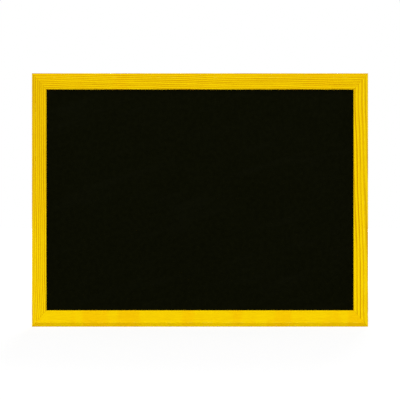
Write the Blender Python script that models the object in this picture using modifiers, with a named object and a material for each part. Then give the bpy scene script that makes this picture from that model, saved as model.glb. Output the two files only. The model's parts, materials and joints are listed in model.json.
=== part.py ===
"""Framed chalkboard: a mitred and rebated pine frame round a hardboard-backed writing sheet,
with strap hangers and rubber bumpers on its back.

Metres, +Z up, the writing side faces -Y.  The origin lies on the wall, midway between the two
hooks that carry the board by its rings.
"""

import math

import bmesh
import bpy
from mathutils import Matrix, Vector

# Outside of the frame
BOARD_WIDTH = 0.400
BOARD_HEIGHT = 0.3015
FRAME_DEPTH = 0.015

# Moulding: widths across a stile. A rail's are wider in proportion to its face.
STILE_FACE = 0.0174
RAIL_FACE = 0.0195
BEVEL_WIDTH = 0.0045
BEVEL_DROP = 0.0026
LIP_WIDTH = 0.0055
LIP_THICKNESS = 0.0040
BEVEL_SOFTENING = 0.0008
LIP_ROUND = 0.0010
BACK_SOFTENING = 0.0004

# Clearances: a resting or fitted piece, a glued mitre, a glued sheet, a panel in its rebate
FIT = 0.0003
MITRE_GLUE = 0.0003
SHEET_GLUE = 0.0001
PANEL_PLAY = 0.0010

# Panel
SHEET_THICKNESS = 0.0007
BACKING_THICKNESS = 0.0030

# V-nails across each mitre, placed by the fold of the V
V_NAIL_FROM_CORNER = 0.0086
V_NAIL_FROM_REBATE = 0.0041
V_NAIL_WING = 0.0042
V_NAIL_HALF_ANGLE = math.radians(42)
V_NAIL_THICKNESS = 0.0006
V_NAIL_HEIGHT = 0.0070

# Points that keep the panel in the rebate
POINTS_ALONG_RAIL = 3
POINTS_ALONG_STILE = 2
POINT_WIDTH = 0.0060
POINT_THICKNESS = 0.0005
POINT_IN_WOOD = 0.0060
POINT_OVER_PANEL = 0.0080
POINT_TIP = 0.0030
POINT_ROUND = 0.0012

# Strap hangers with their rings
HANGER_DROP = 0.0470
STRAP_WIDTH = 0.0070
STRAP_GAUGE = 0.0008
STRAP_LAYER_GAP = 0.0002
RING_WIRE = 0.0015
RING_PLAY = 0.0003
RING_SIDE_PLAY = 0.0007
RING_BEND = 0.0013
RING_REACH = 0.0090
SCREW_DROP = 0.0085
SCREW_LENGTH = 0.0110
SCREW_TIP = 0.0025
SCREW_SHANK = 0.0025
SCREW_HEAD = 0.0052
SCREW_HEAD_HEIGHT = 0.0016
SCREW_HEAD_ROUND = 0.0010

# Rubber bumpers on the bottom rail
BUMPER_INSET = 0.0400
BUMPER_BASE = 0.0090
BUMPER_FACE = 0.0078
BUMPER_THICKNESS = 0.0042
BUMPER_ROUND = 0.0006

# Facets
ARC_STEPS = 4
BARREL_STEPS = 16
RING_ARCH_STEPS = 16
RING_SIDES_RESOLUTION = 4
TURNED_STEPS = 28
CLOSE_POINTS = 0.00001
SHARP_ANGLE = math.radians(35)

# Levels along Y, from the wall at 0 to the front of the frame
BACK_PLANE = -(BUMPER_THICKNESS + FIT)
LIP_BACK = BACK_PLANE - FRAME_DEPTH + LIP_THICKNESS
SHEET_FRONT = LIP_BACK + FIT
BACKING_FRONT = SHEET_FRONT + SHEET_THICKNESS + SHEET_GLUE
BACKING_BACK = BACKING_FRONT + BACKING_THICKNESS
POINT_MIDDLE = BACKING_BACK + FIT + POINT_THICKNESS / 2

# Heights along Z, with the hooks at 0
FRAME_TOP = HANGER_DROP
FRAME_BOTTOM = FRAME_TOP - BOARD_HEIGHT
FRAME_MIDDLE = FRAME_TOP - BOARD_HEIGHT / 2
RING_AXIS_HEIGHT = -(RING_REACH - RING_WIRE / 2)

# The wood behind the rebate, across a stile and across a rail
RAIL_SPREAD = RAIL_FACE / STILE_FACE
STILE_LAND = STILE_FACE - LIP_WIDTH
RAIL_LAND = STILE_LAND * RAIL_SPREAD
MITRE_LAND = math.hypot(STILE_LAND, RAIL_LAND)
V_NAIL_PLACES = {"outer": V_NAIL_FROM_CORNER, "inner": MITRE_LAND - V_NAIL_FROM_REBATE}

PANEL_WIDTH = BOARD_WIDTH - 2 * (STILE_LAND + PANEL_PLAY)
PANEL_HEIGHT = BOARD_HEIGHT - 2 * (RAIL_LAND + PANEL_PLAY)

# The strap's fold round the ring's bar, measured out from the back of the frame
FOLD_RADIUS = RING_WIRE / 2 + RING_PLAY + STRAP_GAUGE / 2
STRAP_LOWER_LAYER = FIT + STRAP_GAUGE / 2
STRAP_UPPER_LAYER = STRAP_LOWER_LAYER + STRAP_GAUGE + STRAP_LAYER_GAP
RING_AXIS_OUT = STRAP_LOWER_LAYER + FOLD_RADIUS
STRAP_END = SCREW_DROP + STRAP_WIDTH / 2
SCREW_SEAT = STRAP_UPPER_LAYER + STRAP_GAUGE / 2 + FIT
HANGER_X = BOARD_WIDTH / 2 - STILE_LAND / 2

QUARTER_TURN = math.radians(90)


def start_empty():
    """Remove the scene's objects and return the collections for the board and its cutters."""
    for thing in list(bpy.data.objects):
        bpy.data.objects.remove(thing, do_unlink=True)
    collections = []
    for name in ("chalkboard", "cutters"):
        collection = bpy.data.collections.new(name)
        bpy.context.scene.collection.children.link(collection)
        collections.append(collection)
    return collections


def finish(name, colour, roughness, metallic=0.0):
    """Return a Principled material of one colour."""
    material = bpy.data.materials.new(name)
    material.use_nodes = True
    shader = material.node_tree.nodes["Principled BSDF"]
    shader.inputs["Base Color"].default_value = (*colour, 1.0)
    shader.inputs["Roughness"].default_value = roughness
    shader.inputs["Metallic"].default_value = metallic
    return material


board_parts, cutters = start_empty()

STAINED_PINE = finish("stained_pine", (0.84, 0.52, 0.004), 0.55)
CHALK_SURFACE = finish("chalk_surface", (0.0035, 0.0038, 0.001), 0.9)
HARDBOARD = finish("hardboard", (0.17, 0.085, 0.04), 0.8)
ZINC_STEEL = finish("zinc_steel", (0.55, 0.56, 0.58), 0.35, 1.0)
RUBBER = finish("rubber", (0.02, 0.02, 0.022), 0.75)


def rounded_outline(corners):
    """Return a closed outline through corners (x, y, radius), each rounded by an arc."""
    outline = []
    for index, (x, y, radius) in enumerate(corners):
        corner = Vector((x, y))
        if radius == 0:
            outline.append(corner)
            continue
        before = (Vector(corners[index - 1][:2]) - corner).normalized()
        after = (Vector(corners[(index + 1) % len(corners)][:2]) - corner).normalized()
        half_angle = before.angle(after) / 2
        centre = corner + (before + after).normalized() * radius / math.sin(half_angle)
        first = corner + before * radius / math.tan(half_angle) - centre
        last = corner + after * radius / math.tan(half_angle) - centre
        for step in range(ARC_STEPS + 1):
            outline.append(centre + first.slerp(last, step / ARC_STEPS).normalized() * radius)
    return outline


def arc(centre, radius, start, end, steps):
    """Return points of an arc round a centre, between two angles, both ends included."""
    points = []
    for step in range(steps + 1):
        angle = start + (end - start) * step / steps
        points.append(Vector(centre) + radius * Vector((math.cos(angle), math.sin(angle))))
    return points


def flat_curve(name, points, half_depth, cyclic=True):
    """Return a 2D curve object: a filled outline, or an open ribbon, drawn out both ways."""
    curve = bpy.data.curves.new(name, "CURVE")
    curve.dimensions = "2D"
    curve.fill_mode = "BOTH" if cyclic else "NONE"
    curve.extrude = half_depth
    spline = curve.splines.new("POLY")
    spline.points.add(len(points) - 1)
    for point, place in zip(spline.points, points):
        point.co = (place[0], place[1], 0.0, 1.0)
    spline.use_cyclic_u = cyclic
    return bpy.data.objects.new(name, curve)


def as_mesh(shape, placement, collection):
    """Replace a curve or a modified object by its mesh, welded and put in its place."""
    name = shape.name
    bpy.context.scene.collection.objects.link(shape)
    evaluated = shape.evaluated_get(bpy.context.evaluated_depsgraph_get())
    mesh = bpy.data.meshes.new_from_object(evaluated)
    bpy.data.objects.remove(shape, do_unlink=True)
    welded = bmesh.new()
    welded.from_mesh(mesh)
    bmesh.ops.remove_doubles(welded, verts=welded.verts, dist=CLOSE_POINTS)
    bmesh.ops.recalc_face_normals(welded, faces=welded.faces)
    welded.to_mesh(mesh)
    welded.free()
    mesh.name = name
    thing = bpy.data.objects.new(name, mesh)
    thing.matrix_world = placement
    collection.objects.link(thing)
    return thing


def cut(thing, cutter, operation="DIFFERENCE"):
    """Add a Boolean modifier to a mesh object."""
    modifier = thing.modifiers.new(cutter.name, "BOOLEAN")
    modifier.operation = operation
    modifier.object = cutter


def as_cutter(thing):
    """Mark an object as a cutter, which isn't a part of the board."""
    thing.hide_render = True
    thing.display_type = "WIRE"
    return thing


def shade_round(thing):
    """Shade a round piece smooth, with its real edges sharp."""
    thing.data.shade_smooth()
    thing.data.set_sharp_from_angle(angle=SHARP_ANGLE)


def turned(name, profile, placement, collection):
    """Return a turned object: a profile (radius, height) from top to bottom, swept round Z."""
    mesh = bpy.data.meshes.new(name)
    points = [(radius, 0.0, height) for radius, height in profile]
    edges = [(index, index + 1) for index in range(len(points) - 1)]
    mesh.from_pydata(points, edges, [])
    lathe_blank = bpy.data.objects.new(name, mesh)
    sweep = lathe_blank.modifiers.new("sweep", "SCREW")
    sweep.steps = TURNED_STEPS
    sweep.render_steps = TURNED_STEPS
    sweep.use_merge_vertices = True
    sweep.merge_threshold = CLOSE_POINTS
    thing = as_mesh(lathe_blank, placement, collection)
    shade_round(thing)
    return thing


def side_placement(side):
    """Return the frame of one side: X points inward, Y to the back, the origin mid-edge."""
    turns = {"left": 0, "bottom": -1, "right": 2, "top": 1}
    edges = {
        "left": (-BOARD_WIDTH / 2, FRAME_MIDDLE),
        "right": (BOARD_WIDTH / 2, FRAME_MIDDLE),
        "bottom": (0.0, FRAME_BOTTOM),
        "top": (0.0, FRAME_TOP),
    }
    x, z = edges[side]
    turn = Matrix.Rotation(turns[side] * QUARTER_TURN, 4, "Y")
    return Matrix.Translation((x, BACK_PLANE, z)) @ turn


def moulding_section(face):
    """Return the moulding's section: (distance from the outer edge, level in front of the back)."""
    corners = [
        (0.0, 0.0, BACK_SOFTENING),
        (0.0, FRAME_DEPTH - BEVEL_DROP, BEVEL_SOFTENING),
        (BEVEL_WIDTH, FRAME_DEPTH, BEVEL_SOFTENING),
        (STILE_FACE, FRAME_DEPTH, LIP_ROUND),
        (STILE_FACE, FRAME_DEPTH - LIP_THICKNESS, 0.0),
        (STILE_LAND, FRAME_DEPTH - LIP_THICKNESS, 0.0),
        (STILE_LAND, 0.0, BACK_SOFTENING),
    ]
    spread = face / STILE_FACE
    return [(across * spread, -level) for across, level in rounded_outline(corners)]


def saw_end(stick, half_length, face, neighbour_face, end):
    """Cut one end of a stick from its outer corner to the inner corner of the frame."""
    normal = Vector((neighbour_face, 0.0, end * face)).normalized()
    outer_corner = Vector((0.0, 0.0, end * half_length))
    cut_bm = bmesh.new()
    cut_bm.from_mesh(stick.data)
    everything = cut_bm.verts[:] + cut_bm.edges[:] + cut_bm.faces[:]
    bmesh.ops.bisect_plane(
        cut_bm,
        geom=everything,
        dist=CLOSE_POINTS,
        plane_co=outer_corner - normal * MITRE_GLUE / 2,
        plane_no=normal,
        clear_outer=True,
    )
    open_edges = [edge for edge in cut_bm.edges if edge.is_boundary]
    bmesh.ops.edgeloop_fill(cut_bm, edges=open_edges)
    bmesh.ops.recalc_face_normals(cut_bm, faces=cut_bm.faces)
    cut_bm.to_mesh(stick.data)
    cut_bm.free()


def make_stick(name, side, length, face, neighbour_face):
    """Make one mitred stick of the frame."""
    outline = flat_curve(name, moulding_section(face), length / 2)
    stick = as_mesh(outline, side_placement(side), board_parts)
    for end in (-1, 1):
        saw_end(stick, length / 2, face, neighbour_face, end)
    stick.data.materials.append(STAINED_PINE)
    shade_round(stick)
    return stick


sticks = {
    "top": make_stick("top_rail", "top", BOARD_WIDTH, RAIL_FACE, STILE_FACE),
    "bottom": make_stick("bottom_rail", "bottom", BOARD_WIDTH, RAIL_FACE, STILE_FACE),
    "left": make_stick("left_stile", "left", BOARD_HEIGHT, STILE_FACE, RAIL_FACE),
    "right": make_stick("right_stile", "right", BOARD_HEIGHT, STILE_FACE, RAIL_FACE),
}


def make_panel(name, front, thickness, material):
    """Make one flat layer of the panel, with its front face at a level along Y."""
    middle = (0.0, front + thickness / 2, FRAME_MIDDLE)
    size = (PANEL_WIDTH, thickness, PANEL_HEIGHT)
    mesh = bpy.data.meshes.new(name)
    box = bmesh.new()
    bmesh.ops.create_cube(box, size=1.0, matrix=Matrix.Diagonal((*size, 1.0)))
    box.to_mesh(mesh)
    box.free()
    panel = bpy.data.objects.new(name, mesh)
    panel.location = middle
    board_parts.objects.link(panel)
    mesh.materials.append(material)


make_panel("writing_sheet", SHEET_FRONT, SHEET_THICKNESS, CHALK_SURFACE)
make_panel("backing_board", BACKING_FRONT, BACKING_THICKNESS, HARDBOARD)


def v_outline(clearance):
    """Return the outline of a V whose fold is at 0 and whose wings run towards -X."""
    half_thickness = V_NAIL_THICKNESS / 2 + clearance
    wing_end = V_NAIL_WING + clearance
    along = Vector((-math.cos(V_NAIL_HALF_ANGLE), math.sin(V_NAIL_HALF_ANGLE)))
    across = Vector((math.sin(V_NAIL_HALF_ANGLE), math.cos(V_NAIL_HALF_ANGLE)))
    fold = Vector((half_thickness / math.sin(V_NAIL_HALF_ANGLE), 0.0))
    upper = [
        fold,
        along * wing_end + across * half_thickness,
        along * wing_end - across * half_thickness,
    ]
    lower = [Vector((point.x, -point.y)) for point in reversed(upper[1:])]
    return upper + [-fold] + lower


def v_prism(name, placement, clearance, overrun, collection):
    """Make a V prism, standing along Y, with a clearance round it and an overrun at its ends."""
    outline = flat_curve(name, v_outline(clearance), V_NAIL_HEIGHT / 2 + overrun)
    return as_mesh(outline, placement @ Matrix.Rotation(QUARTER_TURN, 4, "X"), collection)


def nail_corner(across, upright):
    """Join one corner with its V-nails; across is left or right, upright is top or bottom."""
    x_sign = -1 if across == "left" else 1
    corner_z = FRAME_TOP if upright == "top" else FRAME_BOTTOM
    z_inward = -1 if upright == "top" else 1
    mitre_turn = math.atan2(-z_inward * RAIL_FACE, -x_sign * STILE_FACE)
    nail_level = BACK_PLANE - FIT - V_NAIL_HEIGHT / 2
    corner = Matrix.Translation((x_sign * BOARD_WIDTH / 2, nail_level, corner_z))
    for row, distance in V_NAIL_PLACES.items():
        name = f"v_nail_{upright}_{across}_{row}"
        step_in = Matrix.Translation((distance, 0.0, 0.0))
        placement = corner @ Matrix.Rotation(mitre_turn, 4, "Y") @ step_in
        nail = v_prism(name, placement, 0.0, 0.0, board_parts)
        nail.data.materials.append(ZINC_STEEL)
        slot = as_cutter(v_prism(name + "_slot", placement, FIT, 2 * FIT, cutters))
        cut(sticks[across], slot)
        cut(sticks[upright], slot)


for upright in ("top", "bottom"):
    for across in ("left", "right"):
        nail_corner(across, upright)


def point_outline():
    """Return the outline of a point: its tip in the wood towards -X, its tab over the panel."""
    half_width = POINT_WIDTH / 2
    return rounded_outline([
        (-POINT_IN_WOOD, 0.0, 0.0),
        (-POINT_IN_WOOD + POINT_TIP, -half_width, 0.0),
        (POINT_OVER_PANEL, -half_width, POINT_ROUND),
        (POINT_OVER_PANEL, half_width, POINT_ROUND),
        (-POINT_IN_WOOD + POINT_TIP, half_width, 0.0),
    ])


def point_slot_outline():
    """Return the outline of the slot that a point is driven into."""
    half_width = POINT_WIDTH / 2 + FIT
    depth = POINT_IN_WOOD + FIT
    return [(-depth, -half_width), (FIT, -half_width), (FIT, half_width), (-depth, half_width)]


def drive_points(side, count, land, panel_length):
    """Drive evenly spaced points along one side, flat on the back of the panel."""
    level = POINT_MIDDLE - BACK_PLANE
    lay_flat = Matrix.Rotation(QUARTER_TURN, 4, "X")
    for index in range(count):
        name = f"panel_point_{side}_{index + 1}"
        along = panel_length * ((index + 0.5) / count - 0.5)
        placement = side_placement(side) @ Matrix.Translation((land, level, along)) @ lay_flat
        point = flat_curve(name, point_outline(), POINT_THICKNESS / 2)
        as_mesh(point, placement, board_parts).data.materials.append(ZINC_STEEL)
        slot = flat_curve(name + "_slot", point_slot_outline(), POINT_THICKNESS / 2 + FIT)
        cut(sticks[side], as_cutter(as_mesh(slot, placement, cutters)))


for side in ("top", "bottom"):
    drive_points(side, POINTS_ALONG_RAIL, RAIL_LAND, PANEL_WIDTH)
for side in ("left", "right"):
    drive_points(side, POINTS_ALONG_STILE, STILE_LAND, PANEL_HEIGHT)


def strap_path():
    """Return the folded strap's middle line as (out from the wood, up from the ring's axis).

    The lower layer runs up the wood, the fold goes round the ring's bar, and a bend of the same
    radius the other way brings the upper layer down onto the lower one.
    """
    axis = (RING_AXIS_OUT, 0.0)
    drop_angle = math.acos((STRAP_UPPER_LAYER - STRAP_LOWER_LAYER) / (2 * FOLD_RADIUS))
    bend_centre = (
        RING_AXIS_OUT + 2 * FOLD_RADIUS * math.cos(drop_angle),
        -2 * FOLD_RADIUS * math.sin(drop_angle),
    )
    fold = arc(axis, FOLD_RADIUS, math.pi, -drop_angle, BARREL_STEPS)
    bend = arc(bend_centre, FOLD_RADIUS, math.pi - drop_angle, math.pi, ARC_STEPS)
    lower_end = Vector((STRAP_LOWER_LAYER, -STRAP_END - STRAP_WIDTH / 2))
    upper_end = Vector((STRAP_UPPER_LAYER, -STRAP_END - STRAP_WIDTH / 2))
    return [lower_end] + fold + bend[1:] + [upper_end]


def strap_outline():
    """Return the strap's outline seen from the back, with its round end at the screw."""
    half_width = STRAP_WIDTH / 2
    top = 2 * FOLD_RADIUS
    sides = [Vector((half_width, top)), Vector((-half_width, top))]
    end = arc((0.0, -SCREW_DROP), half_width, math.pi, 2 * math.pi, RING_ARCH_STEPS)
    return sides + end


def ring_outline():
    """Return the D-ring's middle line: a straight bar, two bends, two legs and a round arch."""
    half_width = STRAP_WIDTH / 2 + RING_SIDE_PLAY + RING_WIRE / 2
    arch_height = RING_REACH - half_width
    right_bend = (half_width - RING_BEND, RING_BEND)
    left_bend = (-half_width + RING_BEND, RING_BEND)
    right = arc(right_bend, RING_BEND, -math.pi / 2, 0.0, ARC_STEPS)
    arch = arc((0.0, arch_height), half_width, 0.0, math.pi, RING_ARCH_STEPS)
    left = arc(left_bend, RING_BEND, math.pi, 3 * math.pi / 2, ARC_STEPS)
    return right + arch + left


def make_ring(name, axis_place):
    """Bend one D-ring, standing up from its bar, with its origin on the bar's axis."""
    curve = bpy.data.curves.new(name, "CURVE")
    curve.dimensions = "3D"
    curve.bevel_depth = RING_WIRE / 2
    curve.bevel_resolution = RING_SIDES_RESOLUTION
    spline = curve.splines.new("POLY")
    outline = ring_outline()
    spline.points.add(len(outline) - 1)
    for point, place in zip(spline.points, outline):
        point.co = (place.x, 0.0, place.y, 1.0)
    spline.use_cyclic_u = True
    ring = as_mesh(bpy.data.objects.new(name, curve), axis_place, board_parts)
    ring.data.materials.append(ZINC_STEEL)
    shade_round(ring)


def screw_profile(clearance):
    """Return the shank's turned profile below the head's seat, with a clearance round it."""
    radius = SCREW_SHANK / 2 + clearance
    length = SCREW_LENGTH + clearance
    return [(radius, 0.0), (radius, SCREW_TIP - length), (0.0, -length)]


def make_screw(name, seat_place):
    """Turn one pan-head screw, its seat at the origin and its shank towards -Z."""
    head_radius = SCREW_HEAD / 2
    crown = arc(
        (head_radius - SCREW_HEAD_ROUND, SCREW_HEAD_HEIGHT - SCREW_HEAD_ROUND),
        SCREW_HEAD_ROUND, math.pi / 2, 0.0, ARC_STEPS,
    )
    head = [(0.0, SCREW_HEAD_HEIGHT)] + [tuple(point) for point in crown] + [(head_radius, 0.0)]
    screw = turned(name, head + screw_profile(0.0), seat_place, board_parts)
    screw.data.materials.append(ZINC_STEEL)


def mount_hanger(side):
    """Screw one strap hanger with its ring to the back of a stile."""
    x = -HANGER_X if side == "left" else HANGER_X
    axis_place = Matrix.Translation((x, BACK_PLANE + RING_AXIS_OUT, RING_AXIS_HEIGHT))
    wood_place = Matrix.Translation((x, BACK_PLANE, RING_AXIS_HEIGHT))
    sideways = Matrix.Rotation(QUARTER_TURN, 4, "Z") @ Matrix.Rotation(QUARTER_TURN, 4, "X")
    upright_flat = Matrix.Rotation(QUARTER_TURN, 4, "X")
    pointing_out = Matrix.Rotation(-QUARTER_TURN, 4, "X")

    ribbon = flat_curve(f"{side}_strap", strap_path(), STRAP_WIDTH, cyclic=False)
    strap = as_mesh(ribbon, wood_place @ sideways, board_parts)
    strap.data.materials.append(ZINC_STEEL)
    sheet = strap.modifiers.new("sheet", "SOLIDIFY")
    sheet.thickness = STRAP_GAUGE
    sheet.offset = 0.0
    sheet.use_even_offset = True
    blank = flat_curve(f"{side}_strap_blank", strap_outline(), 4 * FOLD_RADIUS)
    cut(strap, as_cutter(as_mesh(blank, wood_place @ upright_flat, cutters)), "INTERSECT")

    seat = Matrix.Translation((x, BACK_PLANE + SCREW_SEAT, RING_AXIS_HEIGHT - SCREW_DROP))
    seat_place = seat @ pointing_out
    hole_top = SCREW_HEAD_HEIGHT
    bore = [(0.0, hole_top), (SCREW_SHANK / 2 + FIT, hole_top)] + screw_profile(FIT)[1:]
    pilot = as_cutter(turned(f"{side}_screw_hole", bore, seat_place, cutters))
    cut(strap, pilot)
    cut(sticks[side], pilot)

    make_ring(f"{side}_ring", axis_place)
    make_screw(f"{side}_hanger_screw", seat_place)


for side in ("left", "right"):
    mount_hanger(side)


def stick_bumper(side):
    """Stick one rubber bumper to the back of the bottom rail; its face lies on the wall."""
    x_sign = -1 if side == "left" else 1
    x = x_sign * (BOARD_WIDTH / 2 - BUMPER_INSET)
    base = Matrix.Translation((x, BACK_PLANE + FIT, FRAME_BOTTOM + RAIL_LAND / 2))
    edge = arc(
        (BUMPER_FACE / 2 - BUMPER_ROUND, BUMPER_THICKNESS - BUMPER_ROUND),
        BUMPER_ROUND, math.pi / 2, 0.0, ARC_STEPS,
    )
    top = [(0.0, BUMPER_THICKNESS)] + [tuple(point) for point in edge]
    profile = top + [(BUMPER_BASE / 2, 0.0), (0.0, 0.0)]
    placement = base @ Matrix.Rotation(-QUARTER_TURN, 4, "X")
    bumper = turned(f"{side}_bumper", profile, placement, board_parts)
    bumper.data.materials.append(RUBBER)


for side in ("left", "right"):
    stick_bumper(side)
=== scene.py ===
"""The looks of a framed chalkboard: a mitred pine frame, stained a transparent yellow, round a
near-black writing sheet, with steel hangers and rubber bumpers on its back.

Metres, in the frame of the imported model: +X to the right, +Y into the wall, +Z up. The board
faces -Y. Every pattern is laid out in millimetres.
"""
import json
import math

import bmesh
import bpy
import numpy as np
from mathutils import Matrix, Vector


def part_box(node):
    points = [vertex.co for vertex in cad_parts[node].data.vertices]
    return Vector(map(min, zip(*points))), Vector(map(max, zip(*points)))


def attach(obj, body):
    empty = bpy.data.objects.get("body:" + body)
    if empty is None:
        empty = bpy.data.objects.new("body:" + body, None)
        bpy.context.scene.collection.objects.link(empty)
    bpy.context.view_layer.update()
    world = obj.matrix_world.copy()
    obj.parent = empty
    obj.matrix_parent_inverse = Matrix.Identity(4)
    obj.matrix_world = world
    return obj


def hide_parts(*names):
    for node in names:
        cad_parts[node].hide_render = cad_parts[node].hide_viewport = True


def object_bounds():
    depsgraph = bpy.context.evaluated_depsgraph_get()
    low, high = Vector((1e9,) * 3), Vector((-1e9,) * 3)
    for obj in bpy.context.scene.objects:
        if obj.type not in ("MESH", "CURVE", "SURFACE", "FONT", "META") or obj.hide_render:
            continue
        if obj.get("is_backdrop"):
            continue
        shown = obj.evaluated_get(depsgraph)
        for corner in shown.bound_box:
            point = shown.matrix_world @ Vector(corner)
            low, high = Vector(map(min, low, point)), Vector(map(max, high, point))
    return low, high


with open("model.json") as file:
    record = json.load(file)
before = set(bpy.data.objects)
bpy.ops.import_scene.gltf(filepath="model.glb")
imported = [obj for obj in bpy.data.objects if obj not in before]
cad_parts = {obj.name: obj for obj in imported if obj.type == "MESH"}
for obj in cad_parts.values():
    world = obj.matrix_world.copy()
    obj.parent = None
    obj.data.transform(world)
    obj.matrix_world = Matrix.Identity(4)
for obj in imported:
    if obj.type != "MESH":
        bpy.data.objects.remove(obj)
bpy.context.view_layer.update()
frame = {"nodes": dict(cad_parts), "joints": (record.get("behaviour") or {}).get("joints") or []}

# The four sticks of the frame
# A planed pine moulding with a bevel along the front's outer edge and a rebate behind the lip.
# Its ends are sawn from the outer to the inner corner, glued, and then stained by brush: the
# yellow stain covers the front and the sides, and the back stays bare.

stile_low, stile_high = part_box("left_stile")
rail_low, rail_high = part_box("top_rail")
FRAME_LEFT = stile_low.x
FRAME_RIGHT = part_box("right_stile")[1].x
FRAME_TOP = rail_high.z
FRAME_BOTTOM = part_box("bottom_rail")[0].z
FRAME_MIDDLE = (FRAME_TOP + FRAME_BOTTOM) / 2
BACK_PLANE = rail_high.y
FRAME_DEPTH = rail_high.y - rail_low.y
STILE_FACE = stile_high.x - stile_low.x
RAIL_FACE = rail_high.z - rail_low.z

BEVEL_WIDTH = 0.0045
BEVEL_DROP = 0.0026
LIP_WIDTH = 0.0055
LIP_THICKNESS = 0.0040
ARRIS_ROUND = 0.0008
LIP_ROUND = 0.0010
BACK_ROUND = 0.0004
KNIFE_EDGE = 0.0001
GLUE_LINE = 0.00003
STILE_LAND = STILE_FACE - LIP_WIDTH

ARC_STEPS = 8
SECTION_STEP = 0.0009
STATION_STEP = 0.0011
SHARP_ANGLE = math.radians(35)
MILLIMETRES = 1000.0

DENTS_ON_A_STICK = 7
DENT_DEPTH = 0.00012
DENT_LENGTH = 0.0016
DENT_REACH = 0.0012
DENT_DEPTH_SHARES = (0.3, 1.0)
DENT_LENGTH_SHARES = (0.6, 1.6)

STAIN_ON_THE_BACK = 0.0035
STAIN_UNDER_THE_LIP = 0.0022

STAINED_EARLY_WOOD = (0.985, 0.692, 0.0010, 1.0)
STAINED_LATE_WOOD = (0.50, 0.175, 0.0006, 1.0)
STAIN_POOL = (0.99, 0.89, 0.85, 1.0)
# Painted shade: the colour that darkens the sticks towards the frame's top, in place of light
# falling off there
PAINTED_SHADE_AT_TOP = (0.865, 0.80, 0.80, 1.0)
STAINED_WORN = (0.95, 0.690, 0.030, 1.0)
STAINED_JOINT = (0.55, 0.27, 0.0008, 1.0)
STAINED_SHEEN = (1.0, 0.75, 0.05, 1.0)
BARE_EARLY_WOOD = (0.74, 0.53, 0.30, 1.0)
BARE_LATE_WOOD = (0.47, 0.25, 0.105, 1.0)
FIBRE_SHADE = (0.94, 0.90, 1.0, 1.0)
FIBRE_SHINE = (1.02, 1.04, 1.0, 1.0)
CANAL_SHADE = (0.86, 0.76, 0.9, 1.0)
STAINED_GLOSS = 0.05
SATIN_ROUGHNESS = (0.50, 0.66)
BARE_WOOD_ROUGHER = 0.26
FIBRE_RELIEF = 0.00005
RUBBED_AT_MOST = 0.45
SOAKED_AT_MOST = 0.35
RAGGEDNESS = 1.1
LATE_WOOD_RISE = 0.7
FIBRE_RISE = 0.8
CANAL_DROP = 0.8

# Where in a year the late wood starts, is full and ends, and how much the years differ
LATE_WOOD_STARTS = 0.30
LATE_WOOD_IS_FULL = 0.88
LATE_WOOD_ENDS = 0.91
WEAKEST_YEAR = 0.65
FADED_YEAR = 0.68
YEARS_DRIFT = 0.7
YEARS_DRIFT_PITCH = 0.45

# The sizes of the wood's pattern, in millimetres: of a blot, along the grain and across it twice
RING_WANDER = 5.0
BEND_BLOT = (120, 45, 45)
FADING_BLOT = (60, 4, 4)
FIBRE_BLOT = (14, 0.40, 0.40)
CANAL_BLOT = (4.5, 0.20, 0.20)
POOL_BLOT = (30, 80, 80)
RUBBED_BLOT = (7, 2, 2)
RAGGED_BLOT = (14, 1.2, 1.2)
RUBBED_WIDTH = (0.1, 0.6)
SOAKED_WIDTH = (0.02, 0.25)


def put(tree, kind, inputs=None, **settings):
    """Add a shader node: its own settings, and for each input a value or a socket to link."""
    node = tree.nodes.new(kind)
    for setting, value in settings.items():
        setattr(node, setting, value)
    for socket, value in (inputs or {}).items():
        if isinstance(value, bpy.types.NodeSocket):
            tree.links.new(value, node.inputs[socket])
        else:
            node.inputs[socket].default_value = value
    return node


def calc(tree, operation, *values):
    """Return one value worked out from others by a Math node."""
    return put(tree, "ShaderNodeMath", dict(enumerate(values)), operation=operation).outputs[0]


def stretch(tree, place, sizes):
    """Return a place divided by the sizes of a pattern in its three directions."""
    shrink = tuple(1 / size for size in sizes)
    node = put(tree, "ShaderNodeVectorMath", {0: place, 1: shrink}, operation="MULTIPLY")
    return node.outputs[0]


def noise(tree, place, sizes, detail=2.0):
    """Return a noise value between 0 and 1 whose blots have these sizes."""
    inputs = {"Vector": stretch(tree, place, sizes), "Scale": 1.0, "Detail": detail}
    return put(tree, "ShaderNodeTexNoise", inputs).outputs["Fac"]


def spread(tree, value, start, end, low=0.0, high=1.0):
    """Return a value that goes from low to high, with a soft start and end, as another does.

    A noise's values gather round 0.5, so its start and end say how much its patches cover.
    """
    inputs = {"Value": value, 1: start, 2: end, 3: low, 4: high}
    node = put(tree, "ShaderNodeMapRange", inputs, interpolation_type="SMOOTHSTEP")
    return node.outputs["Result"]


def blend(tree, share, first, second, way="MIX"):
    """Return a colour that is a share of the second colour over the first."""
    inputs = {0: share, 6: first, 7: second}
    node = put(tree, "ShaderNodeMix", inputs, data_type="RGBA", blend_type=way)
    return node.outputs[2]


def effect_group(name, inputs, outputs):
    """Return a new node group, the sockets that it reads and the sockets that it fills."""
    tree = bpy.data.node_groups.new(name, "ShaderNodeTree")
    for socket, kind in inputs.items():
        tree.interface.new_socket(socket, in_out="INPUT", socket_type=kind)
    for socket, kind in outputs.items():
        tree.interface.new_socket(socket, in_out="OUTPUT", socket_type=kind)
    entry = tree.nodes.new("NodeGroupInput")
    way_out = tree.nodes.new("NodeGroupOutput")
    return tree, entry.outputs, way_out.inputs


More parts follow.
